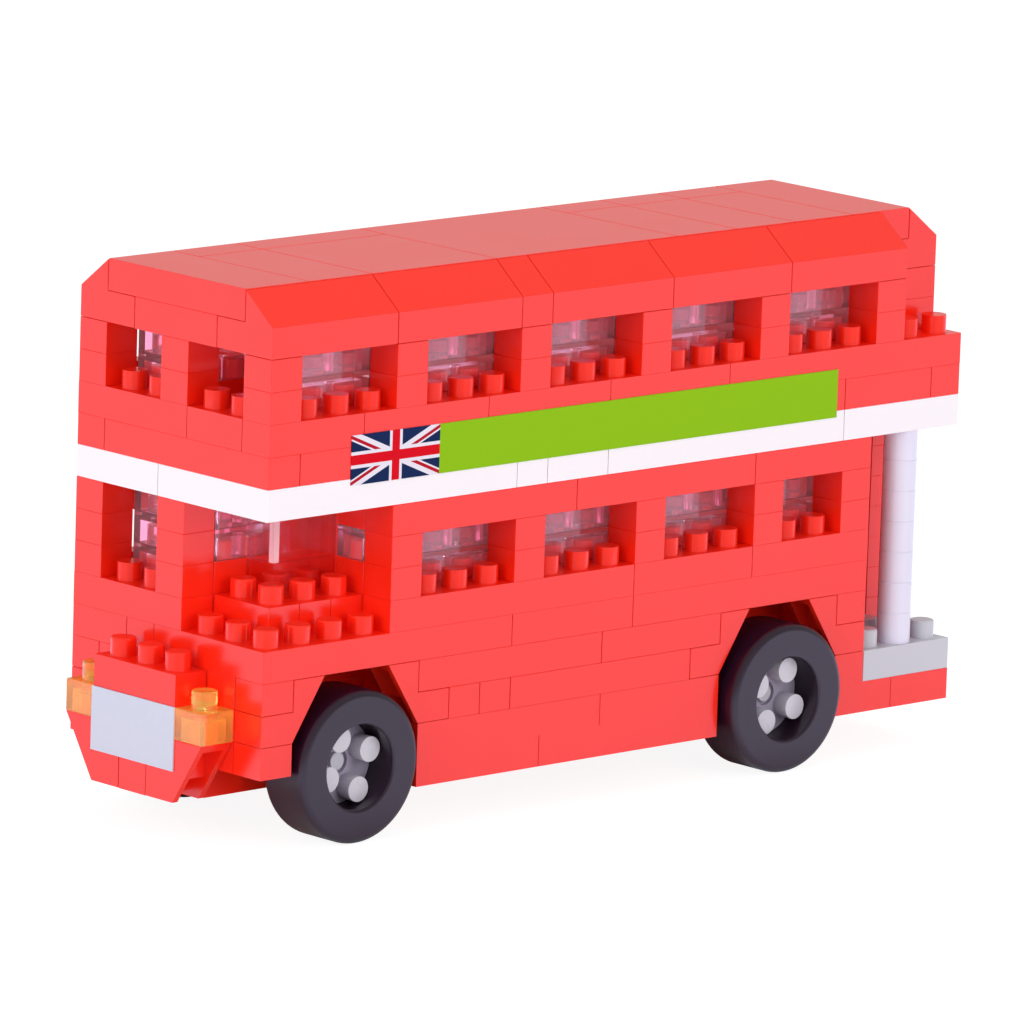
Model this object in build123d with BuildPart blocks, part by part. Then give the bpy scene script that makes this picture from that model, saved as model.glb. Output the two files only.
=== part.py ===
from build123d import *
import os

# Model double decker bus of small interlocking bricks, with a half cab and an open rear platform.
# Millimetres: +X is forward, +Y is the near (left) side, +Z is up, and z = 0 is the floor.
# Places along the bus are counted in studs behind the body's front face ("front", "rear"),
# places across it in studs from the near side ("near", "off"), and heights in brick courses.

# Brick grid
PITCH = 4.0
COURSE_HEIGHT = 3.12
SEAM = 0.08
STUD_DIAMETER = 2.5
STUD_HEIGHT = 1.8
SHORTEST_BRICK_STUDS = 0.5

# Body
BODY_STUDS = 23
NOSE_STUDS = 1
WIDTH_STUDS = 7
PLATFORM_STUDS = 3
CAB_WALL_STUD = (WIDTH_STUDS - 1) / 2
PILLAR_SPACING_STUDS = 4

# Slope bricks, which are hollow from below
SLOPE_WALL = 0.65
SLOPE_SKIN = 0.8

# Hollow bricks: open below, with a post or a tube between the studs' places
BRICK_WALL = 0.6
BRICK_TOP = 0.9
POST_DIAMETER = 1.4
TUBE_DIAMETER = 3.1
TUBE_BORE = 2.3

# Wheels
TYRE_DIAMETER = 15.0
TYRE_WIDTH = 5.8
TYRE_BEVEL = 0.4
TYRE_PROUD = {"front": 0.9, "rear": 1.7}
TYRE_SEAT_CLEARANCE = 0.04
HUB_DIAMETER = 8.4
STUD_RECESS = 1.6
FRONT_AXLE_STUD = 3
REAR_AXLE_TO_PLATFORM_STUDS = 3
AXLE_COURSE = 1
PIN_DIAMETER = 1.4
PIN_HEAD_DIAMETER = 1.7
PIN_HEAD_LENGTH = 0.4
PIN_CLEARANCE = 0.05
HEAD_RECESS_DIAMETER = 2.5
CARRIER_STUDS = 2
CARRIER_BOSS_DIAMETER = 3.2
HUB_SIDE_CLEARANCE = 0.3
HUB_TURN = {"front": 20.0, "rear": -16.0}

# Platform pole, plate and side bands
POLE_DIAMETER = 3.4
POLE_GROOVE = 0.06
PLATE_THICKNESS = 0.15
PLATE_OVERLAP = 0.1
BAND_THICKNESS = 0.1
BAND_FRONT_STUD = 2.6
BAND_REAR_STUD = 18.7
BAND_LOW_COURSE = 9.8
BAND_HIGH_COURSE = 11.35

# Places that follow from the sizes above, in studs and courses
REAR_END = BODY_STUDS
OFF_SIDE = WIDTH_STUDS
MIDDLE = WIDTH_STUDS / 2
SALOON_END = BODY_STUDS - PLATFORM_STUDS
REAR_POST = REAR_END - 3
FRONT_AXLE = FRONT_AXLE_STUD
REAR_AXLE = SALOON_END - REAR_AXLE_TO_PLATFORM_STUDS
CARRIER_REACH = CARRIER_STUDS / 2
SKIRT_CLEARANCE = TYRE_DIAMETER / 2 - AXLE_COURSE * COURSE_HEIGHT


def grid_x(stud):
    return ((BODY_STUDS + NOSE_STUDS) / 2 - NOSE_STUDS - stud) * PITCH


def grid_y(stud):
    return (WIDTH_STUDS / 2 - stud) * PITCH


def grid_z(course):
    return SKIRT_CLEARANCE + course * COURSE_HEIGHT


def run(near, off, fronts, rear):
    """Bricks laid end to end in one strip, each from its front edge to the next, the last to the rear."""
    kept = [front for front in fronts if front < rear - SHORTEST_BRICK_STUDS]
    return [(front, following, near, off) for front, following in zip(kept, kept[1:] + [rear])]


def mirrored(bricks):
    return [(front, rear, OFF_SIDE - off, OFF_SIDE - near) for front, rear, near, off in bricks]


def both_sides(bricks):
    return bricks + mirrored(bricks)


def parted(bricks, fronts):
    """Bricks of which those at these fronts have a separate strip, one stud wide, at their off side."""
    whole = [brick for brick in bricks if brick[0] not in fronts]
    split = [brick for brick in bricks if brick[0] in fronts]
    main = [(front, rear, near, off - 1) for front, rear, near, off in split]
    strips = [(front, rear, off - 1, off) for front, rear, near, off in split]
    return whole + main + strips


def studs_on(front, rear, near, off):
    """Middles of the whole studs on the rectangle between these edges."""
    return [
        (front + along + 0.5, near + across + 0.5)
        for along in range(int(rear - front))
        for across in range(int(off - near))
    ]


def and_off_side(places):
    return places + [(stud, OFF_SIDE - near) for stud, near in places]


def posts_under(bricks):
    """Places between the studs of bricks that are one stud wide."""
    along = [
        (front + count, (near + off) / 2)
        for front, rear, near, off in bricks
        for count in range(1, int(rear - front))
        if off - near == 1
    ]
    across = [
        ((front + rear) / 2, near + count)
        for front, rear, near, off in bricks
        for count in range(1, int(off - near))
        if rear - front == 1
    ]
    return along + across


def tubes_under(bricks):
    """Places amid each four studs of bricks that are wider than one stud."""
    return [
        (front + along, near + across)
        for front, rear, near, off in bricks
        for along in range(1, int(rear - front))
        for across in range(1, int(off - near))
    ]


def studs_within(bricks):
    """Stud places under or on top of these bricks."""
    return [place for brick in bricks for place in studs_on(*brick)]


def pillars_up_to(last):
    """Front edges of the side pillars, evenly spaced behind the front one."""
    count = int(last / PILLAR_SPACING_STUDS)
    return [number * PILLAR_SPACING_STUDS for number in range(1, count + 1)]


def windows_between(pillars):
    return [(front + 1, rear) for front, rear in zip(pillars, pillars[1:])]


def write(piece, name):
    piece.part.label = name
    export_step(piece.part, f"parts/{name}.step")


os.makedirs("parts", exist_ok=True)

# Pillars of both decks, the windows between them and the studs that show on their sills
LOWER_PILLARS = pillars_up_to(SALOON_END - PILLAR_SPACING_STUDS)
UPPER_PILLARS = pillars_up_to(REAR_END - PLATFORM_STUDS - PILLAR_SPACING_STUDS)
LOWER_WINDOWS = windows_between(LOWER_PILLARS + [SALOON_END - 1])
UPPER_WINDOWS = windows_between([0] + UPPER_PILLARS + [REAR_POST])
LOWER_SILL = studs_within([(front, rear, 0, 1) for front, rear in LOWER_WINDOWS])
UPPER_SILL = studs_within([(front, rear, 0, 1) for front, rear in UPPER_WINDOWS])


LOWER_PILLAR_BRICKS = [(stud, stud + 1, 0, 1) for stud in LOWER_PILLARS] + [(SALOON_END - 1, SALOON_END, 0, 2)]
UPPER_PILLAR_BRICKS = (
    [(0, 1, 0, 1)]
    + [(stud, stud + 1, 0, 1) for stud in UPPER_PILLARS]
    + [(REAR_POST, REAR_END - 2, 0, 2), (REAR_END - 2, REAR_END, 1, 2)]
)
REAR_SIDE = [(SALOON_END, REAR_END, OFF_SIDE - 1, OFF_SIDE)]
REAR_WALL = REAR_SIDE + [(REAR_END - 1, REAR_END, 2, OFF_SIDE - 1)]
REAR_WINDOW_SIDES = REAR_SIDE + [
    (REAR_END - 1, REAR_END, 2, 3),
    (REAR_END - 1, REAR_END, OFF_SIDE - 2, OFF_SIDE - 1),
]
CAB_CORNERS = [(0, 1, CAB_WALL_STUD, CAB_WALL_STUD + 1), (0, 1, OFF_SIDE - 1, OFF_SIDE)]
CAB_WALL = [(1, 4, CAB_WALL_STUD, CAB_WALL_STUD + 1)]
CAB_REAR_POST = [(3, 4, CAB_WALL_STUD, CAB_WALL_STUD + 1)]
BULKHEAD = [(4, 5, 2, OFF_SIDE - 2)]
BULKHEAD_ENDS = both_sides([(4, 5, 1, 2)])
SALOON_GLASS = both_sides(run(1, 2, [stud + 1 for stud in LOWER_PILLARS], SALOON_END - 1))
CAB_GLASS = [(1, 3, CAB_WALL_STUD, CAB_WALL_STUD + 1)]
CAB_OFF_GLASS = [(1, 4, OFF_SIDE - 2, OFF_SIDE - 1)]
UPPER_GLASS = both_sides(run(1, 2, [1] + UPPER_PILLARS, REAR_POST)) + [
    (REAR_END - 2, REAR_END - 1, 2, OFF_SIDE - 2)
]

# Bricks of each course: node, course, bricks (front, rear, near, off), studs (behind front, from near side)
COURSES = [
    (
        "skirt_course_1",
        0,
        both_sides(
            run(0, 1, [FRONT_AXLE + 2, 9], REAR_AXLE - 2)
            + run(0, 1, [REAR_AXLE + 2, REAR_END - 2], REAR_END)
            + [(REAR_END - 2, REAR_END, 1, 2)]
        )
        + run(2, OFF_SIDE - 2, [0], FRONT_AXLE - CARRIER_REACH)
        + run(2, OFF_SIDE - 2, [FRONT_AXLE + CARRIER_REACH, 10], REAR_AXLE - CARRIER_REACH)
        + run(2, OFF_SIDE - 2, [REAR_AXLE + CARRIER_REACH], REAR_END),
        [],
    ),
    (
        "skirt_course_2",
        1,
        both_sides(
            run(0, 1, [0], FRONT_AXLE - 2)
            + run(0, 1, [FRONT_AXLE + 2, 11], REAR_AXLE - 2)
            + run(0, 1, [REAR_AXLE + 2], SALOON_END)
        )
        + [(0, 1, 1, OFF_SIDE - 1)]
        + run(2, OFF_SIDE - 2, [1], FRONT_AXLE - CARRIER_REACH)
        + run(2, OFF_SIDE - 2, [FRONT_AXLE + CARRIER_REACH, 8, 12], REAR_AXLE - CARRIER_REACH)
        + run(2, OFF_SIDE - 2, [REAR_AXLE + CARRIER_REACH], SALOON_END)
        + REAR_SIDE,
        [],
    ),
    (
        "skirt_course_3",
        2,
        both_sides(run(0, 1, [FRONT_AXLE + 3, 7, 8], REAR_AXLE - 3))
        + [(0, 1, 1, OFF_SIDE - 1), (SALOON_END - 1, SALOON_END, 1, OFF_SIDE - 1)]
        + run(2, OFF_SIDE - 2, [1, 5, 9, 13], SALOON_END - 1)
        + REAR_WALL,
        [],
    ),
    (
        "skirt_course_4",
        3,
        both_sides(
            run(0, 1, [0], FRONT_AXLE - 2)
            + run(0, 1, [FRONT_AXLE + 2, 11], REAR_AXLE - 2)
            + run(0, 1, [REAR_AXLE + 2], SALOON_END)
        )
        + [(0, 1, 1, OFF_SIDE - 1), (SALOON_END - 1, SALOON_END, 1, OFF_SIDE - 1)]
        + run(2, OFF_SIDE - 2, [1, 7, 11, 15], SALOON_END - 1)
        + REAR_WALL,
        [],
    ),
    (
        "floor_course",
        4,
        run(0, 4, [0, 8, 12], SALOON_END)
        + run(4, 5, [0, 4, 12], SALOON_END)
        + run(5, OFF_SIDE, [0, 8, 12], SALOON_END)
        + REAR_WALL,
        studs_on(0, 1, 0, CAB_WALL_STUD) + studs_on(1, 4, 0, 1),
    ),
    (
        "sill_course",
        5,
        both_sides(run(0, 2, [4, 12, 16], SALOON_END))
        + [(0, 1, CAB_WALL_STUD, OFF_SIDE), (1, 4, OFF_SIDE - 2, OFF_SIDE)]
        + CAB_WALL
        + BULKHEAD
        + REAR_WALL,
        and_off_side(LOWER_SILL)
        + studs_on(0, 1, CAB_WALL_STUD + 1, OFF_SIDE - 1)
        + studs_on(1, 4, OFF_SIDE - 1, OFF_SIDE)
        + studs_on(REAR_END - 1, REAR_END, 3, OFF_SIDE - 2)
        + studs_within(SALOON_GLASS + CAB_OFF_GLASS),
    ),
    (
        "lower_pillars_1",
        6,
        both_sides(LOWER_PILLAR_BRICKS)
        + CAB_CORNERS
        + CAB_WALL
        + BULKHEAD
        + BULKHEAD_ENDS
        + REAR_WINDOW_SIDES,
        studs_within(CAB_GLASS + BULKHEAD_ENDS),
    ),
    (
        "lower_pillars_2",
        7,
        both_sides(LOWER_PILLAR_BRICKS) + CAB_CORNERS + CAB_REAR_POST + BULKHEAD + REAR_WINDOW_SIDES,
        [],
    ),
    (
        "lower_lintels",
        8,
        run(0, 1, [4, 10, 16], SALOON_END)
        + run(1, 2, [4, 11, 17], SALOON_END)
        + mirrored(run(0, 2, [4, 10, 16], SALOON_END))
        + [(1, 4, OFF_SIDE - 1, OFF_SIDE)]
        + CAB_CORNERS
        + CAB_REAR_POST
        + BULKHEAD
        + REAR_WALL,
        [],
    ),
    (
        "white_course",
        9,
        run(0, 4, [0, 8, 9, 11, 19], REAR_END) + run(4, OFF_SIDE, [0, 6, 12, 18], REAR_END),
        [],
    ),
    (
        "waist_course_1",
        10,
        [(0, 1, 0, OFF_SIDE - 1), (0, 1, OFF_SIDE - 1, OFF_SIDE), (REAR_END - 1, REAR_END, 1, OFF_SIDE - 1)]
        + both_sides(run(0, 1, [1, 7, 13, 19], REAR_END - 1) + [(REAR_END - 1, REAR_END, 0, 1)])
        + both_sides(run(1, 2, [1, 8, 15], REAR_END - 1)),
        [],
    ),
    (
        "waist_course_2",
        11,
        [(0, 3, 0, 1), (0, 1, 1, 3), (0, 1, 3, OFF_SIDE), (1, 3, OFF_SIDE - 1, OFF_SIDE)]
        + both_sides(run(0, 1, [3, 7, 11, 15], REAR_END) + run(1, 2, [1, 7, 13, 19], REAR_END))
        + [(REAR_END - 2, REAR_END - 1, 2, OFF_SIDE - 2), (REAR_END - 1, REAR_END, 2, OFF_SIDE - 2)],
        and_off_side(UPPER_SILL + studs_on(REAR_END - 2, REAR_END, 0, 1))
        + studs_on(0, 1, 1, MIDDLE - 0.5)
        + studs_on(0, 1, MIDDLE + 0.5, OFF_SIDE - 1)
        + studs_on(REAR_END - 1, REAR_END, 2, OFF_SIDE - 2)
        + studs_within(UPPER_GLASS),
    ),
    (
        "upper_pillars_1",
        12,
        both_sides(UPPER_PILLAR_BRICKS) + [(0, 1, MIDDLE - 0.5, MIDDLE + 0.5)],
        [],
    ),
    (
        "upper_pillars_2",
        13,
        both_sides(UPPER_PILLAR_BRICKS) + [(0, 1, MIDDLE - 0.5, MIDDLE + 0.5)],
        [],
    ),
    (
        "roof_bearers",
        14,
        [(stud, stud + 1, 2, OFF_SIDE - 2) for stud in [0] + UPPER_PILLARS + [REAR_POST]],
        [],
    ),
    (
        "roof_tiles",
        15,
        parted(run(1, OFF_SIDE - 1, [0, 2, 4, 8, 14, 16, 18, 20], REAR_END - 1), [2, 4, 14, 16, 18]),
        [],
    ),
    (
        "bonnet_top",
        5,
        run(1, CAB_WALL_STUD, [1, 2, 3], 4),
        studs_on(1, 4, 1, CAB_WALL_STUD),
    ),
    ("nose_course_1", 0, [(-NOSE_STUDS, 0, MIDDLE - 0.5, MIDDLE + 0.5)], []),
    ("nose_course_2", 1, [(-NOSE_STUDS, 0, 2, OFF_SIDE - 2)], []),
    ("nose_course_3", 2, [(-NOSE_STUDS, 0, 2, OFF_SIDE - 2)], []),
    (
        "nose_course_4",
        3,
        [(-NOSE_STUDS, 0, 2, OFF_SIDE - 2)],
        studs_on(-NOSE_STUDS, 0, 2, OFF_SIDE - 2),
    ),
    (
        "indicators",
        2,
        both_sides([(-NOSE_STUDS, 0, 1, 2)]),
        and_off_side(studs_on(-NOSE_STUDS, 0, 1, 2)),
    ),
    (
        "platform",
        1,
        [(SALOON_END, REAR_END, 0, 2), (SALOON_END, REAR_END, 2, OFF_SIDE - 1)],
        studs_on(SALOON_END, SALOON_END + 1, 0, 1)
        + studs_on(REAR_END - 1, REAR_END, 0, 1)
        + studs_on(SALOON_END, REAR_END - 1, 1, OFF_SIDE - 1),
    ),
    ("lower_glass_1", 6, SALOON_GLASS + CAB_OFF_GLASS, studs_within(SALOON_GLASS + CAB_OFF_GLASS)),
    (
        "lower_glass_2",
        7,
        SALOON_GLASS + CAB_GLASS + CAB_OFF_GLASS + BULKHEAD_ENDS,
        studs_within(CAB_GLASS + CAB_OFF_GLASS),
    ),
    ("lower_glass_3", 8, CAB_GLASS + CAB_OFF_GLASS, []),
    ("upper_glass_1", 12, UPPER_GLASS, studs_within(UPPER_GLASS)),
    ("upper_glass_2", 13, UPPER_GLASS, []),
]

# Courses whose hollows show, from below or through clear bricks
OPEN_BELOW = ["skirt_course_1", "skirt_course_2", "nose_course_1", "platform", "indicators"]
OPEN_BELOW += ["lower_glass_1", "lower_glass_2", "lower_glass_3", "upper_glass_1", "upper_glass_2"]

for node, course, bricks, studs in COURSES:
    foot = Plane.XY.offset(grid_z(course))
    with BuildPart() as laid:
        with BuildSketch(foot):
            for front, rear, near, off in bricks:
                with Locations((grid_x((front + rear) / 2), grid_y((near + off) / 2))):
                    Rectangle((rear - front) * PITCH - SEAM, (off - near) * PITCH - SEAM)
        extrude(amount=COURSE_HEIGHT)
        if node in OPEN_BELOW:
            with BuildSketch(foot):
                for front, rear, near, off in bricks:
                    with Locations((grid_x((front + rear) / 2), grid_y((near + off) / 2))):
                        Rectangle(
                            (rear - front) * PITCH - SEAM - 2 * BRICK_WALL,
                            (off - near) * PITCH - SEAM - 2 * BRICK_WALL,
                        )
            extrude(amount=COURSE_HEIGHT - BRICK_TOP, mode=Mode.SUBTRACT)
            for places, diameter, bore in (
                (posts_under(bricks), POST_DIAMETER, 0),
                (tubes_under(bricks), TUBE_DIAMETER, TUBE_BORE),
            ):
                if places:
                    with BuildSketch(foot):
                        with Locations([(grid_x(stud), grid_y(near)) for stud, near in places]):
                            Circle(diameter / 2)
                            if bore:
                                Circle(bore / 2, mode=Mode.SUBTRACT)
                    extrude(amount=COURSE_HEIGHT - BRICK_TOP)
        if studs:
            with BuildSketch(Plane.XY.offset(grid_z(course + 1))):
                with Locations([(grid_x(stud), grid_y(near)) for stud, near in studs]):
                    Circle(STUD_DIAMETER / 2)
            extrude(amount=STUD_HEIGHT)
    write(laid, node)


def inverted_slope(side, start, way, foot, foot_course):
    """Two-course brick with a slanted face below, hollow and open there between two thin side walls.

    side is the plane of one side face. Along it the brick's grid starts at start and counts studs
    the given way: the top reaches from 1 to 2 studs, and the foot from 2 to foot studs.
    """
    wall = SLOPE_WALL / PITCH
    skin = SLOPE_SKIN / COURSE_HEIGHT
    outline = [(1, 2), (2, 2), (2, 1), (foot, 1), (foot, 0), (2, 0)]
    hollow = [
        (1, 2 - skin),
        (2 - wall, 2 - skin),
        (2 - wall, 1 - skin),
        (foot - wall, 1 - skin),
        (foot - wall, -skin),
        (1, -skin),
    ]
    with BuildSketch(side) as block:
        with BuildLine():
            Polyline(
                [(start + way * studs * PITCH, grid_z(foot_course + courses)) for studs, courses in outline],
                close=True,
            )
        make_face()
        offset(amount=-SEAM / 2, kind=Kind.INTERSECTION, mode=Mode.REPLACE)
    extrude(block.sketch, amount=PITCH - SEAM)
    with BuildSketch(side.offset(SLOPE_WALL)) as pocket:
        with BuildLine():
            Polyline(
                [(start + way * studs * PITCH, grid_z(foot_course + courses)) for studs, courses in hollow],
                close=True,
            )
        make_face()
    extrude(pocket.sketch, amount=PITCH - SEAM - 2 * SLOPE_WALL, mode=Mode.SUBTRACT)


# Inverted slopes that shape the wheel arches, before and behind each axle on both sides
with BuildPart() as arch_slopes:
    for axle in (FRONT_AXLE, REAR_AXLE):
        for way in (-1, 1):
            for near in (0, OFF_SIDE - 1):
                inverted_slope(Plane.XZ.offset(SEAM / 2 - grid_y(near)), grid_x(axle), way, 3, 2)
write(arch_slopes, "arch_slopes")

# The same bricks turned across the bus, at both ends of the nose's foot
with BuildPart() as nose_slopes:
    for way in (-1, 1):
        inverted_slope(Plane.YZ.offset(grid_x(0) + SEAM / 2), -way * grid_y(0), way, MIDDLE - 0.5, 0)
    with BuildSketch(Plane.XY.offset(grid_z(2) - SEAM)):
        with Locations([(grid_x(-0.5), grid_y(near)) for near in (1.5, OFF_SIDE - 1.5)]):
            Circle(STUD_DIAMETER / 2)
    extrude(amount=SEAM + STUD_HEIGHT)
write(nose_slopes, "nose_slopes")

# Slope bricks along both edges of the roof
ROOF_COURSE = 14
ROOF_PROFILE = [(0, 0), (2, 0), (2, 1), (1, 1), (1, 2), (0, 1)]
with BuildPart() as roof_slopes:
    for front, rear, near, off in run(0, 2, [0, 4, 8, 9, 13, 17], REAR_END - 2):
        for way in (-1, 1):
            with BuildSketch(Plane.YZ.offset(grid_x(rear) + SEAM / 2)):
                with BuildLine():
                    Polyline(
                        [
                            (way * (grid_y(near) - studs * PITCH), grid_z(ROOF_COURSE + courses))
                            for studs, courses in ROOF_PROFILE
                        ],
                        close=True,
                    )
                make_face()
                offset(amount=-SEAM / 2, kind=Kind.INTERSECTION, mode=Mode.REPLACE)
            extrude(amount=(rear - front) * PITCH - SEAM)
write(roof_slopes, "roof_slopes")

# Slope bricks across the roof's rear end
with BuildPart() as rear_roof_slopes:
    for near, off in [(1, 4), (4, OFF_SIDE - 1)]:
        with BuildSketch(Plane.XZ.offset(-grid_y(near) + SEAM / 2)):
            with BuildLine():
                Polyline(
                    [
                        (grid_x(REAR_END - studs), grid_z(ROOF_COURSE + courses))
                        for studs, courses in ROOF_PROFILE
                    ],
                    close=True,
                )
            make_face()
            offset(amount=-SEAM / 2, kind=Kind.INTERSECTION, mode=Mode.REPLACE)
        extrude(amount=(off - near) * PITCH - SEAM)
write(rear_roof_slopes, "rear_roof_slopes")

# Pole of stacked round bricks between the platform and the upper deck, grooved at each brick
POLE_X = grid_x(REAR_END - 1.5)
POLE_Y = grid_y(0.5)
POLE_FOOT_COURSE = 2
POLE_BRICKS = 7
with BuildPart() as pole:
    with BuildSketch(Plane.XY.offset(grid_z(POLE_FOOT_COURSE))):
        with Locations((POLE_X, POLE_Y)):
            Circle(POLE_DIAMETER / 2)
    extrude(amount=POLE_BRICKS * COURSE_HEIGHT)
    for joint in range(1, round(POLE_BRICKS)):
        with BuildSketch(Plane.XY.offset(grid_z(POLE_FOOT_COURSE + joint) - POLE_GROOVE / 2)):
            with Locations((POLE_X, POLE_Y)):
                Circle(POLE_DIAMETER / 2)
                Circle(POLE_DIAMETER / 2 - POLE_GROOVE, mode=Mode.SUBTRACT)
        extrude(amount=POLE_GROOVE, mode=Mode.SUBTRACT)
write(pole, "pole")

# Bare plate on the nose
with BuildPart() as nose_plate:
    with BuildSketch(Plane.YZ.offset(grid_x(-NOSE_STUDS) - SEAM / 2)):
        with Locations((grid_y(MIDDLE), grid_z(2))):
            Rectangle((WIDTH_STUDS - 4) * PITCH + PLATE_OVERLAP, 2 * COURSE_HEIGHT)
    extrude(amount=PLATE_THICKNESS)
write(nose_plate, "nose_plate")

# Thin bands along both sides of the upper deck's waist
with BuildPart() as side_bands:
    for way in (-1, 1):
        side = Plane.XZ.offset(-grid_y(0) + SEAM / 2) if way > 0 else Plane.XZ.offset(grid_y(0) - SEAM / 2)
        with BuildSketch(side):
            with Locations(
                (
                    (grid_x(BAND_FRONT_STUD) + grid_x(BAND_REAR_STUD)) / 2,
                    (grid_z(BAND_LOW_COURSE) + grid_z(BAND_HIGH_COURSE)) / 2,
                )
            ):
                Rectangle(
                    (BAND_REAR_STUD - BAND_FRONT_STUD) * PITCH,
                    (BAND_HIGH_COURSE - BAND_LOW_COURSE) * COURSE_HEIGHT,
                )
        extrude(amount=-way * BAND_THICKNESS)
write(side_bands, "side_bands")

# Axle carriers under the chassis: a two-course block with a boss and a headed pin to each side
AXLES = {"front": FRONT_AXLE, "rear": REAR_AXLE}
AXLE_Z = grid_z(AXLE_COURSE)
TYRE_OUTER_Y = {end: grid_y(0) + TYRE_PROUD[end] for end in AXLES}
HUB_BACK_Y = {end: TYRE_OUTER_Y[end] - TYRE_WIDTH for end in AXLES}
HUB_FACE_Y = {end: TYRE_OUTER_Y[end] - STUD_RECESS - STUD_HEIGHT for end in AXLES}
HUB_THICKNESS = TYRE_WIDTH - STUD_RECESS - STUD_HEIGHT
with BuildPart() as axle_carriers:
    for end, axle in AXLES.items():
        with BuildSketch(Plane.XY.offset(grid_z(0))):
            with Locations((grid_x(axle), 0)):
                Rectangle(CARRIER_STUDS * PITCH - SEAM, (WIDTH_STUDS - 4) * PITCH - SEAM)
        extrude(amount=2 * COURSE_HEIGHT)
        for diameter, reach in (
            (CARRIER_BOSS_DIAMETER, HUB_BACK_Y[end] - HUB_SIDE_CLEARANCE),
            (PIN_DIAMETER, HUB_FACE_Y[end]),
        ):
            with BuildSketch(Plane.XZ):
                with Locations((grid_x(axle), AXLE_Z)):
                    Circle(diameter / 2)
            extrude(amount=reach, both=True)
        for way in (-1, 1):
            with BuildSketch(Plane.XZ.offset(way * (HUB_FACE_Y[end] - PIN_HEAD_LENGTH))):
                with Locations((grid_x(axle), AXLE_Z)):
                    Circle(PIN_HEAD_DIAMETER / 2)
            extrude(amount=way * PIN_HEAD_LENGTH)
write(axle_carriers, "axle_carriers")

# Wheels: a smooth tyre over a round hub with four studs, turning on the carrier's pin
for end, axle in AXLES.items():
    for side, way in (("left", 1), ("right", -1)):
        wheel_plane = Plane(
            origin=(grid_x(axle), way * HUB_BACK_Y[end], AXLE_Z),
            x_dir=(1, 0, 0),
            z_dir=(0, way, 0),
        )
        with BuildPart() as tyre:
            with BuildSketch(wheel_plane):
                Circle(TYRE_DIAMETER / 2)
                Circle(HUB_DIAMETER / 2, mode=Mode.SUBTRACT)
            extrude(amount=TYRE_WIDTH)
            rims = tyre.edges().filter_by(GeomType.CIRCLE).sort_by(SortBy.RADIUS)[-2:]
            chamfer(rims, length=TYRE_BEVEL)
        write(tyre, f"tyre_{end}_{side}")

        with BuildPart() as hub:
            with BuildSketch(wheel_plane):
                Circle(HUB_DIAMETER / 2 - TYRE_SEAT_CLEARANCE)
            extrude(amount=HUB_THICKNESS)
            with BuildSketch(wheel_plane.offset(HUB_THICKNESS)):
                with Locations(Rotation(0, 0, -way * HUB_TURN[end])):
                    with GridLocations(PITCH, PITCH, 2, 2):
                        Circle(STUD_DIAMETER / 2)
            extrude(amount=STUD_HEIGHT)
            with BuildSketch(wheel_plane):
                Circle(PIN_DIAMETER / 2 + PIN_CLEARANCE)
            extrude(amount=HUB_THICKNESS, mode=Mode.SUBTRACT)
            with BuildSketch(wheel_plane.offset(HUB_THICKNESS)):
                Circle(HEAD_RECESS_DIAMETER / 2)
            extrude(amount=-PIN_HEAD_LENGTH - PIN_CLEARANCE, mode=Mode.SUBTRACT)
        write(hub, f"hub_{end}_{side}")
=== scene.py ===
"""Studio view of the model double decker bus: moulded bricks, clear windows, side labels and wheels."""

import math

import bpy
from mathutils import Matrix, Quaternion, Vector


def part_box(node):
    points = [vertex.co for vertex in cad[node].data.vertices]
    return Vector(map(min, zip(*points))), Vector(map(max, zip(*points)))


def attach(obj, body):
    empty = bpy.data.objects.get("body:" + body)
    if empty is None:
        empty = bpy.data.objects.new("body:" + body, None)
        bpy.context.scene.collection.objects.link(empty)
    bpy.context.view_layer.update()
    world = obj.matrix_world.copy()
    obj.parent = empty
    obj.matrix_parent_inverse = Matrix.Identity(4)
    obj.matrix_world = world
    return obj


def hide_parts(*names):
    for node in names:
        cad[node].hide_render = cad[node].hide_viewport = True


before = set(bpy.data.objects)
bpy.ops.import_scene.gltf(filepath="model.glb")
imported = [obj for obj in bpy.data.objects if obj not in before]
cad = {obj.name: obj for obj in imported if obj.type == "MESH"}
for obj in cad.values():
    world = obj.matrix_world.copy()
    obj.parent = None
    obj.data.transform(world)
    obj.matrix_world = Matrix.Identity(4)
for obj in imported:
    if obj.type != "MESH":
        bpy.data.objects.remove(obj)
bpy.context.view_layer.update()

# Sizes, in metres
MM = 0.001
PITCH = 4.0 * MM
COURSE_HEIGHT = 3.12 * MM
SEAM = 0.08 * MM
STUD_HEIGHT = 1.8 * MM
STUD_TOP_AREA = math.pi * (1.25 * MM) ** 2
PANE_THICKNESS = 1.0 * MM
PANE_FOOT_THICKNESS = 0.6 * MM
POST_THICKNESS = 0.7 * MM
EDGE_ROUNDING = 0.05 * MM
STUD_ROUNDING = 0.24 * MM
TYRE_EDGE_ROUNDING = 0.3 * MM
MERGE_DISTANCE = 0.001 * MM

# Faces that meet at more than this angle have a sharp edge, and at less than the other are one face
SHARP_ANGLE = math.radians(35)
FLAT_ANGLE = math.radians(1)

# A stud's top is a face with more corners than this, and has its area to within this share
STUD_TOP_CORNERS = 12
STUD_TOP_TOLERANCE = 0.1

WHITE = (1.0, 1.0, 1.0, 1.0)


# Modelling helpers


def choose(*pieces):
    """Selects just these objects and makes the first one active."""
    if bpy.context.object and bpy.context.object.mode != "OBJECT":
        bpy.ops.object.mode_set(mode="OBJECT")
    bpy.ops.object.select_all(action="DESELECT")
    for piece in pieces:
        piece.select_set(True)
    bpy.context.view_layer.objects.active = pieces[0]


def settle(piece, name):
    """Names this object and moves its place, turn and size into its mesh."""
    choose(piece)
    bpy.ops.object.transform_apply(location=True, rotation=True, scale=True)
    piece.name = name
    piece.data.name = name
    return piece


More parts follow.
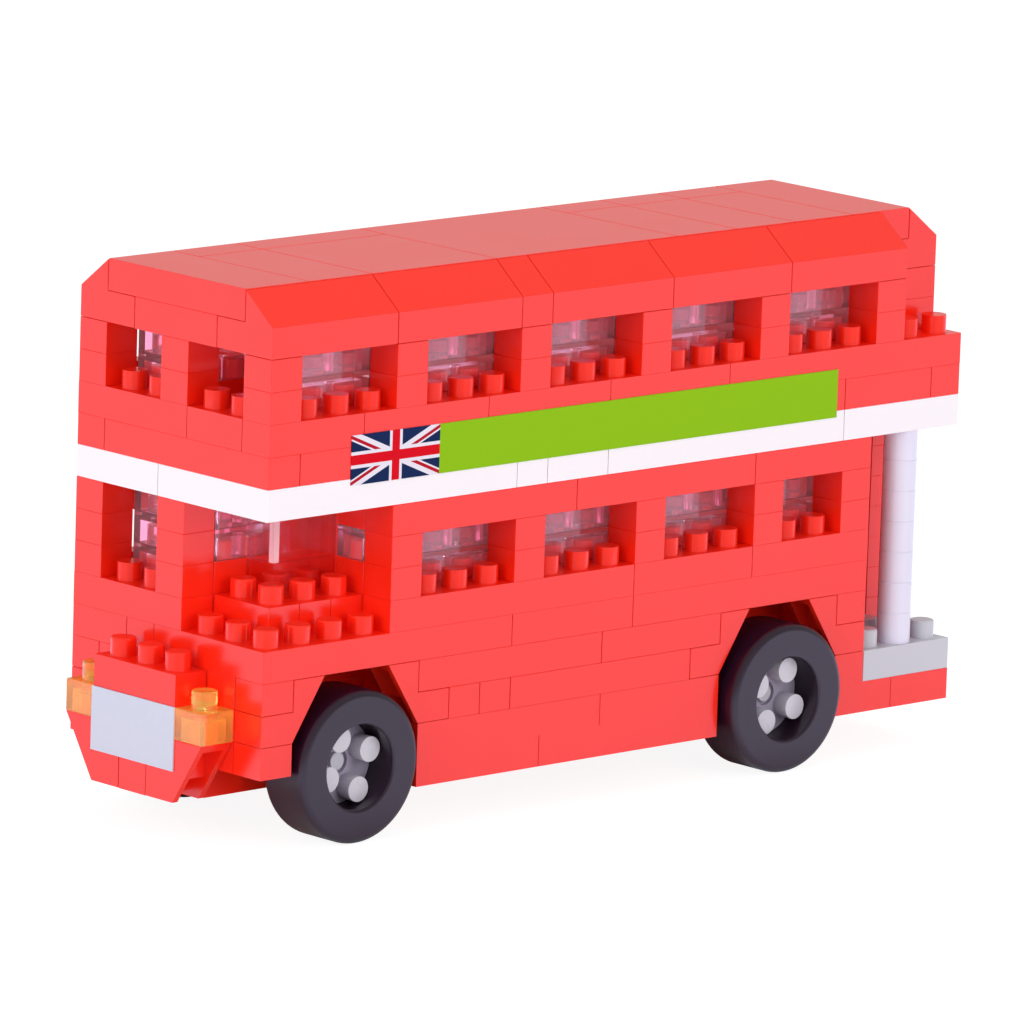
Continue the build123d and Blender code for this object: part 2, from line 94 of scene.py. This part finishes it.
def join(pieces, name):
    choose(*pieces)
    bpy.ops.object.join()
    return settle(bpy.context.object, name)


def apply_modifier(piece, kind, **settings):
    choose(piece)
    modifier = piece.modifiers.new(kind.title(), kind)
    for setting, value in settings.items():
        setattr(modifier, setting, value)
    bpy.ops.object.modifier_apply(modifier=modifier.name)


def smooth_rounding(piece):
    """Smooth shading on the rounded edges, with the flat faces left flat."""
    choose(piece)
    bpy.ops.object.shade_smooth_by_angle(angle=SHARP_ANGLE)
    apply_modifier(piece, "WEIGHTED_NORMAL", keep_sharp=True, weight=100)


def round_edges(piece, width, segments):
    """Rounds every sharp edge by this width."""
    apply_modifier(
        piece,
        "BEVEL",
        width=width,
        segments=segments,
        limit_method="ANGLE",
        angle_limit=SHARP_ANGLE,
        use_clamp_overlap=True,
    )
    smooth_rounding(piece)


def round_bricks(piece):
    """Rounds the bricks' edges finely, and the rims of their studs more softly."""
    choose(piece)
    bpy.ops.object.mode_set(mode="EDIT")
    bpy.ops.mesh.select_mode(type="EDGE")
    bpy.ops.mesh.select_all(action="DESELECT")
    bpy.ops.mesh.edges_select_sharp(sharpness=SHARP_ANGLE)
    bpy.ops.transform.edge_bevelweight(value=EDGE_ROUNDING / STUD_ROUNDING)
    bpy.ops.mesh.select_mode(type="FACE")
    bpy.ops.mesh.select_all(action="DESELECT")
    bpy.ops.object.mode_set(mode="OBJECT")
    for face in piece.data.polygons:
        is_round = len(face.vertices) > STUD_TOP_CORNERS
        face.select = is_round and abs(face.area / STUD_TOP_AREA - 1) < STUD_TOP_TOLERANCE
    bpy.ops.object.mode_set(mode="EDIT")
    bpy.ops.mesh.region_to_loop()
    bpy.ops.transform.edge_bevelweight(value=1.0)
    bpy.ops.object.mode_set(mode="OBJECT")
    apply_modifier(
        piece,
        "BEVEL",
        width=STUD_ROUNDING,
        segments=3,
        limit_method="WEIGHT",
        use_clamp_overlap=True,
    )
    smooth_rounding(piece)


def plain_copy(node, name, merge_faces=True):
    """A node's own shape as a new object, its loose triangles merged into clean faces."""
    piece = bpy.data.objects.new(name, cad[node].data.copy())
    bpy.context.scene.collection.objects.link(piece)
    choose(piece)
    bpy.ops.object.mode_set(mode="EDIT")
    bpy.ops.mesh.select_all(action="SELECT")
    bpy.ops.mesh.customdata_custom_splitnormals_clear()
    bpy.ops.mesh.remove_doubles(threshold=MERGE_DISTANCE)
    if merge_faces:
        bpy.ops.mesh.dissolve_limited(angle_limit=FLAT_ANGLE)
    bpy.ops.object.mode_set(mode="OBJECT")
    return piece


def block(name, low, high):
    """Box between two corners."""
    bpy.ops.object.select_all(action="DESELECT")
    bpy.ops.mesh.primitive_cube_add(size=1, location=(low + high) / 2, scale=high - low)
    return settle(bpy.context.object, name)


def cut(piece, low, high):
    """Takes the box between two corners away from this piece."""
    cutter = block("cutter", low, high)
    apply_modifier(piece, "BOOLEAN", operation="DIFFERENCE", object=cutter, solver="EXACT")
    choose(cutter)
    bpy.ops.object.delete()


def corner_pane(name, low, high, thickness):
    """Upright pane along the front and the near side of this box."""
    pane = block(name, low, high)
    cut(pane, low - Vector((MM, MM, MM)), high - Vector((thickness, thickness, -MM)))
    return pane


def dress(piece, finish):
    piece.data.materials.clear()
    piece.data.materials.append(finish)


# Material helpers


class Number:
    """A changing value among shader nodes: Python's operators on it add Math nodes."""

    def __init__(self, nodes, socket):
        self.nodes = nodes
        self.socket = socket

    def math(self, operation, *values):
        return self.nodes.number("ShaderNodeMath", {"operation": operation}, dict(enumerate(values)))

    def __add__(self, other):
        return self.math("ADD", self, other)

    def __radd__(self, other):
        return self.math("ADD", other, self)

    def __sub__(self, other):
        return self.math("SUBTRACT", self, other)

    def __rsub__(self, other):
        return self.math("SUBTRACT", other, self)

    def __mul__(self, other):
        return self.math("MULTIPLY", self, other)

    def __truediv__(self, other):
        return self.math("DIVIDE", self, other)

    def __gt__(self, other):
        return self.math("GREATER_THAN", self, other)

    def __lt__(self, other):
        return self.math("LESS_THAN", self, other)

    def __abs__(self):
        return self.math("ABSOLUTE", self)

    def at_least(self, other):
        return self.math("MAXIMUM", self, other)

    def at_most(self, other):
        return self.math("MINIMUM", self, other)


class ShaderNodes:
    """The shader nodes of a material or of the air, with one method that adds any node."""

    def __init__(self, tree, output):
        self.tree = tree
        self.output = tree.nodes[output]

    def node(self, kind, settings=None, inputs=None):
        """Adds a node, makes its settings and then gives its sockets their values or links."""
        added = self.tree.nodes.new(kind)
        for setting, value in (settings or {}).items():
            setattr(added, setting, value)
        for socket, value in (inputs or {}).items():
            self.feed(added.inputs[socket], value)
        return added

    def number(self, kind, settings=None, inputs=None, output=0):
        return Number(self, self.node(kind, settings, inputs).outputs[output])

    def feed(self, socket, value):
        if isinstance(value, Number):
            self.tree.links.new(value.socket, socket)
        elif isinstance(value, bpy.types.NodeSocket):
            self.tree.links.new(value, socket)
        else:
            socket.default_value = value

    def rays(self, *kinds):
        """1 for a light ray of each of these kinds, otherwise 0."""
        path = self.node("ShaderNodeLightPath")
        return [Number(self, path.outputs[f"Is {kind} Ray"]) for kind in kinds]

    def mix(self, share, first, second):
        """Turns from the first node's shader into the second's as the share goes from 0 to 1."""
        inputs = {0: share, 1: first.outputs[0], 2: second.outputs[0]}
        return self.node("ShaderNodeMixShader", inputs=inputs)

    def show(self, shader):
        """Makes this node's shader the surface that is seen."""
        self.feed(self.output.inputs["Surface"], shader.outputs[0])


class Finish(ShaderNodes):
    """A material under construction."""

    def __init__(self, name):
        self.material = bpy.data.materials.new(name)
        self.material.use_nodes = True
        super().__init__(self.material.node_tree, "Material Output")
        self.shader = self.tree.nodes["Principled BSDF"]

    def surface(self, **sockets):
        """Sets the shader's sockets, named with underscores for spaces."""
        for socket, value in sockets.items():
            self.feed(self.shader.inputs[socket.replace("_", " ")], value)
        return self.material

    def place(self):
        """X, Y and Z of the surface in the bus's own frame."""
        position = self.node("ShaderNodeTexCoord").outputs["Object"]
        parts = self.node("ShaderNodeSeparateXYZ", inputs={"Vector": position})
        return [Number(self, parts.outputs[axis]) for axis in range(3)]

    def noise(self, size, detail=2.0):
        """Soft random pattern from 0 to 1 whose blotches are about this size."""
        position = self.node("ShaderNodeTexCoord").outputs["Object"]
        inputs = {"Vector": position, "Scale": 1 / size, "Detail": detail, "Roughness": 0.5}
        return self.number("ShaderNodeTexNoise", inputs=inputs, output="Fac")

    def blend(self, share, first, second):
        """Colour between two colours."""
        mix = self.node("ShaderNodeMix", {"data_type": "RGBA"}, {"Factor": share, 6: first, 7: second})
        return mix.outputs[2]

    def bump(self, height, strength, distance):
        """Normal of a surface with this height pattern."""
        inputs = {"Strength": strength, "Distance": distance, "Height": height}
        return self.node("ShaderNodeBump", inputs=inputs).outputs["Normal"]


def colour(red, green, blue):
    """Linear colour from the 0 to 255 values that a screen shows."""

    def linear(value):
        share = value / 255
        return share / 12.92 if share <= 0.04045 else ((share + 0.055) / 1.055) ** 2.4

    return (linear(red), linear(green), linear(blue), 1.0)


# Finishes


def moulded_plastic(name, tone, shade):
    """Glossy moulded plastic with a faint unevenness of colour and of surface."""
    finish = Finish(name)
    patches = finish.noise(6 * MM, detail=3.0)
    ripple = finish.noise(1.6 * MM)
    return finish.surface(
        Base_Color=finish.blend(patches, tone, shade),
        Roughness=0.2 + (patches - 0.5) * 0.06,
        Normal=finish.bump(ripple, 0.05, 0.01 * MM),
    )


def clear_plastic(name, tone, passed, clarity, unbent=0.0):
    """Clear moulded plastic that bends what is seen through it and lets the room's light past.

    The unbent share of what is seen comes straight through, as in a thin flat pane.
    """
    finish = Finish(name)
    flow = finish.noise(2.5 * MM, detail=1.0)
    finish.surface(
        Base_Color=tone,
        Roughness=0.04 + flow * 0.06,
        Transmission_Weight=clarity,
        IOR=1.5,
        Normal=finish.bump(flow, 0.1, 0.02 * MM),
    )
    shadow, diffuse = finish.rays("Shadow", "Diffuse")
    open_air = finish.node("ShaderNodeBsdfTransparent", inputs={"Color": passed})
    finish.show(finish.mix(shadow.at_least(diffuse).at_least(unbent), finish.shader, open_air))
    return finish.material


def rubber():
    finish = Finish("tyre_rubber")
    grain = finish.noise(0.25 * MM, detail=3.0)
    cloud = finish.noise(5 * MM)
    return finish.surface(
        Base_Color=finish.blend(cloud, colour(34, 14, 34), colour(30, 11, 30)),
        Roughness=0.28 + grain * 0.1,
        Normal=finish.bump(grain, 0.12, 0.02 * MM),
    )


def hub_plastic(end):
    """Grey hub with painted shade that darkens it deeper in its recess, and painted light on the stud ends
    that reach out of it.
    """
    stud_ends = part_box(f"hub_{end}_left")[1].y
    finish = Finish(f"hub_plastic_{end}")
    across = finish.place()[1]
    # Painted shade: the grey darkens from the pale stud ends down into the hub's recess
    recess_shade = ((stud_ends - abs(across)) / STUD_HEIGHT).at_least(0.0).at_most(1.0)
    return finish.surface(
        Base_Color=finish.blend(recess_shade, colour(208, 206, 216), colour(160, 152, 171)),
        Roughness=0.25 + finish.noise(2 * MM) * 0.06,
    )


def plate_card():
    finish = Finish("nose_plate_card")
    fibre = finish.noise(0.8 * MM, detail=3.0)
    return finish.surface(
        Base_Color=finish.blend(fibre, colour(206, 209, 226), colour(202, 205, 223)),
        Roughness=0.45 + fibre * 0.1,
    )


# Label: a flag at the reader's left end of a green band, on both sides of the bus
FLAG_LENGTH = 2.82 * PITCH
label_low, label_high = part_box("side_bands")
FLAG_HEIGHT = label_high.z - label_low.z

# Half widths of the flag's bars, in parts of its height
WHITE_DIAGONAL = 0.1
RED_DIAGONAL = 0.033
WHITE_CROSS = 0.167
RED_CROSS = 0.1


def label_print():
    finish = Finish("label_print")
    x, y, z = finish.place()
    near_side = y > 0
    from_left = near_side * (label_high.x - x) + (1 - near_side) * (x - label_low.x)
    # Places on the flag in parts of its height, from its middle: right and up are positive
    right = (from_left - FLAG_LENGTH / 2) / FLAG_HEIGHT
    up = (z - (label_low.z + label_high.z) / 2) / FLAG_HEIGHT
    half_length = FLAG_LENGTH / 2 / FLAG_HEIGHT
    half_diagonal = math.hypot(half_length, 0.5)
    across_right = right * (0.5 / half_diagonal)
    across_up = up * (half_length / half_diagonal)
    falling = across_right + across_up
    rising = across_right - across_up
    white_diagonals = (abs(falling) < WHITE_DIAGONAL).at_least(abs(rising) < WHITE_DIAGONAL)
    # The red diagonals lie to one side of the white ones' middles, each half to its own side
    shift = ((right > 0) * 2 - 1) * RED_DIAGONAL
    red_falling = abs(falling - shift) < RED_DIAGONAL
    red_rising = abs(rising - shift) < RED_DIAGONAL
    white_cross = (abs(right) < WHITE_CROSS).at_least(abs(up) < WHITE_CROSS)
    red_cross = (abs(right) < RED_CROSS).at_least(abs(up) < RED_CROSS)
    flag = finish.blend(white_diagonals, colour(14, 36, 80), colour(228, 222, 236))
    flag = finish.blend(red_falling.at_least(red_rising), flag, colour(180, 18, 38))
    flag = finish.blend(white_cross, flag, colour(228, 222, 236))
    flag = finish.blend(red_cross, flag, colour(214, 4, 28))
    label = finish.blend(from_left > FLAG_LENGTH, flag, colour(138, 188, 20))
    ink = finish.noise(0.5 * MM)
    return finish.surface(Base_Color=label, Roughness=0.45 + ink * 0.08, Specular_IOR_Level=0.08)


red_plastic = moulded_plastic("red_plastic", colour(248, 42, 21), colour(246, 39, 19))
white_plastic = moulded_plastic("white_plastic", colour(245, 238, 243), colour(243, 236, 241))
pole_plastic = moulded_plastic("pole_plastic", colour(226, 222, 240), colour(222, 218, 237))
grey_plastic = moulded_plastic("light_grey_plastic", colour(198, 197, 206), colour(194, 193, 202))
# The pink in the clear plastics' tones is painted light: it stands in for red light thrown about inside the
# bus
clear_window = clear_plastic("clear_plastic", colour(255, 212, 226), colour(253, 246, 250), 0.92)
clear_pane = clear_plastic("clear_pane_plastic", colour(240, 214, 222), colour(246, 236, 240), 1.0, 0.7)
# Painted highlight: the corner post's plastic is paler and less clear than the panes, standing in for light
# coming through the clear corner
corner_highlight = clear_plastic("milky_edge_plastic", colour(255, 218, 224), colour(253, 246, 250), 0.55)
amber_clear = clear_plastic("amber_plastic", colour(255, 240, 132), colour(255, 238, 186), 0.84)
tyre_rubber = rubber()

# Bricks: every course is its own shape with rounded edges
RED_NODES = [
    "skirt_course_1",
    "skirt_course_2",
    "skirt_course_3",
    "skirt_course_4",
    "arch_slopes",
    "floor_course",
    "sill_course",
    "bonnet_top",
    "lower_pillars_1",
    "lower_pillars_2",
    "lower_lintels",
    "waist_course_1",
    "waist_course_2",
    "upper_pillars_1",
    "upper_pillars_2",
    "roof_bearers",
    "roof_tiles",
    "roof_slopes",
    "rear_roof_slopes",
    "nose_course_1",
    "nose_course_2",
    "nose_course_3",
    "nose_course_4",
    "nose_slopes",
]
CLEAR_NODES = ["lower_glass_1", "lower_glass_2", "lower_glass_3", "upper_glass_1", "upper_glass_2"]

for finish, nodes in (
    (red_plastic, RED_NODES),
    (white_plastic, ["white_course"]),
    (pole_plastic, ["pole"]),
    (grey_plastic, ["platform", "axle_carriers"]),
    (clear_window, CLEAR_NODES),
    (amber_clear, ["indicators"]),
):
    for node in nodes:
        bricks = plain_copy(node, node + "_bricks")
        round_bricks(bricks)
        dress(bricks, finish)
        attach(bricks, "bus_body")
        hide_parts(node)

# The cab's own window stands behind the near studs of the bonnet and goes around the corner, up to
# the white course: two panes on a thin foot beside the studs, with a corner post between them whose paler,
# less clear plastic is a painted highlight
bonnet_low, bonnet_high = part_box("bonnet_top")
foot_low = Vector((bonnet_low.x, bonnet_low.y, bonnet_high.z + SEAM / 2 - STUD_HEIGHT))
foot_high = bonnet_high - Vector((PITCH, PITCH, STUD_HEIGHT)) + Vector((0, 0, COURSE_HEIGHT))
pane_low = Vector((foot_low.x, foot_low.y, foot_high.z + SEAM))
pane_high = foot_high + Vector((0, 0, 2 * COURSE_HEIGHT))
post_low = Vector((pane_high.x - POST_THICKNESS, pane_high.y - POST_THICKNESS, pane_low.z))
cab_foot = corner_pane("cab_foot", foot_low, foot_high, PANE_FOOT_THICKNESS)
cab_pane = corner_pane("cab_pane", pane_low, pane_high, PANE_THICKNESS)
cut(cab_pane, post_low - Vector((SEAM, SEAM, MM)), pane_high + Vector((MM, MM, MM)))
cab_window = join([cab_foot, cab_pane], "cab_window")
cab_post = block("cab_post", post_low, pane_high)
for piece, finish in ((cab_window, clear_pane), (cab_post, corner_highlight)):
    round_bricks(piece)
    dress(piece, finish)
    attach(piece, "bus_body")

# Plate and labels
dress(cad["nose_plate"], plate_card())
dress(cad["side_bands"], label_print())

# Wheels
for end in ("front", "rear"):
    hub_finish = hub_plastic(end)
    for side in ("left", "right"):
        body = f"wheel_{end}_{side}"
        tyre = plain_copy(f"tyre_{end}_{side}", f"tyre_{end}_{side}_rubber")
        round_edges(tyre, TYRE_EDGE_ROUNDING, 4)
        dress(tyre, tyre_rubber)
        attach(tyre, body)
        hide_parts(f"tyre_{end}_{side}")
        hub = plain_copy(f"hub_{end}_{side}", f"hub_{end}_{side}_moulding", merge_faces=False)
        round_bricks(hub)
        dress(hub, hub_finish)
        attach(hub, body)
        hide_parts(f"hub_{end}_{side}")

# Floor
FLOOR_SPAN = 6.0
FLOOR_GLOW = 1.2
FLOOR_SHINE = 1.9
GLOW_SHARE = 0.75

# The bus's own shade on the floor: half its length and width, and how far its edge fades
SHADE_HALF_LENGTH = 46 * MM
SHADE_HALF_WIDTH = 12 * MM
SHADE_FADE = 14 * MM


def studio_floor():
    """Pale floor that looks white, is mirrored brightly outside the bus's own shade and keeps its shadow."""
    finish = Finish("studio_floor")
    finish.surface(Base_Color=colour(250, 250, 250), Roughness=0.6, Specular_IOR_Level=0.2)
    direct, mirrored, through = finish.rays("Camera", "Glossy", "Transmission")
    x, y = finish.place()[:2]
    ahead = (abs(x) - SHADE_HALF_LENGTH) / SHADE_FADE
    aside = (abs(y) - SHADE_HALF_WIDTH) / SHADE_FADE
    open_floor = ahead.at_least(aside).at_least(0.0).at_most(1.0)
    seen_glow = finish.node("ShaderNodeEmission", inputs={"Color": WHITE, "Strength": FLOOR_GLOW})
    mirrored_glow = finish.node(
        "ShaderNodeEmission",
        inputs={"Color": (0.85, 0.85, 1.12, 1.0), "Strength": FLOOR_SHINE},
    )
    seen = finish.mix(direct.at_least(through) * GLOW_SHARE, finish.shader, seen_glow)
    finish.show(finish.mix(mirrored * open_floor * GLOW_SHARE, seen, mirrored_glow))
    return finish.material


bpy.ops.object.select_all(action="DESELECT")
bpy.ops.mesh.primitive_plane_add(size=FLOOR_SPAN, location=(0, 0, 0))
floor = settle(bpy.context.object, "studio_floor")
dress(floor, studio_floor())

# Air: soft light from all around, white where it is seen and faint where it is mirrored
AIR_LIGHT = 0.5
AIR_SHINE_SHARE = 0.1

world = bpy.data.worlds.new("studio_air")
bpy.context.scene.world = world
world.use_nodes = True
air = ShaderNodes(world.node_tree, "World Output")
room_light = air.tree.nodes["Background"]
air.feed(room_light.inputs["Color"], WHITE)
air.feed(room_light.inputs["Strength"], AIR_LIGHT)
white_backdrop = air.node("ShaderNodeBackground", inputs={"Color": WHITE, "Strength": 1.0})
direct, mirrored, through = air.rays("Camera", "Glossy", "Transmission")
seen_share = direct.at_least(through).at_least(mirrored * AIR_SHINE_SHARE)
air.show(air.mix(seen_share, room_light, white_backdrop))

# Lamps, which face the middle of the bus
LAMP_AIM = Vector((0, 0, 0.03))


def softbox(name, place, size, power):
    """Square lamp, not mirrored in the bus."""
    bpy.ops.object.select_all(action="DESELECT")
    bpy.ops.object.light_add(type="AREA", location=place)
    lamp = bpy.context.object
    lamp.name = name
    lamp.data.size = size
    lamp.data.energy = power
    lamp.visible_glossy = False
    lamp.rotation_mode = "QUATERNION"
    lamp.rotation_quaternion = (LAMP_AIM - Vector(place)).to_track_quat("-Z", "Y")


softbox("front_softbox", (0.8, 0.1, 0.3), 0.5, 2.85)
softbox("side_softbox", (-0.05, 0.85, 0.35), 0.5, 2.85)
softbox("top_softbox", (-0.1, -0.1, 1.0), 0.6, 2.55)

# The camera stands where the photograph was taken from
CAMERA_PLACE = Vector((664.84, 717.46, 219.32)) * MM
CAMERA_AIM = Vector((-0.11, 0.31, 26.44)) * MM
CAMERA_ROLL = math.radians(1.89)
SENSOR_WIDTH = 36.0
FOCAL_LENGTH = 356.6

bpy.ops.object.select_all(action="DESELECT")
bpy.ops.object.camera_add(location=CAMERA_PLACE)
camera = bpy.context.object
camera.name = "studio_camera"
camera.rotation_mode = "QUATERNION"
level_turn = (CAMERA_AIM - CAMERA_PLACE).to_track_quat("-Z", "Y")
camera.rotation_quaternion = level_turn @ Quaternion((0, 0, 1), CAMERA_ROLL)
camera.data.sensor_width = SENSOR_WIDTH
camera.data.lens = FOCAL_LENGTH
camera.data.clip_start = 0.01
camera.data.clip_end = 20.0
bpy.context.scene.camera = camera

bpy.context.scene.view_settings.view_transform = "Standard"
# Light passes many clear faces and goes round many times between the red ones
bpy.context.scene.cycles.transparent_max_bounces = 48
bpy.context.scene.cycles.max_bounces = 24
bpy.context.scene.cycles.transmission_bounces = 24
bpy.context.scene.cycles.diffuse_bounces = 12
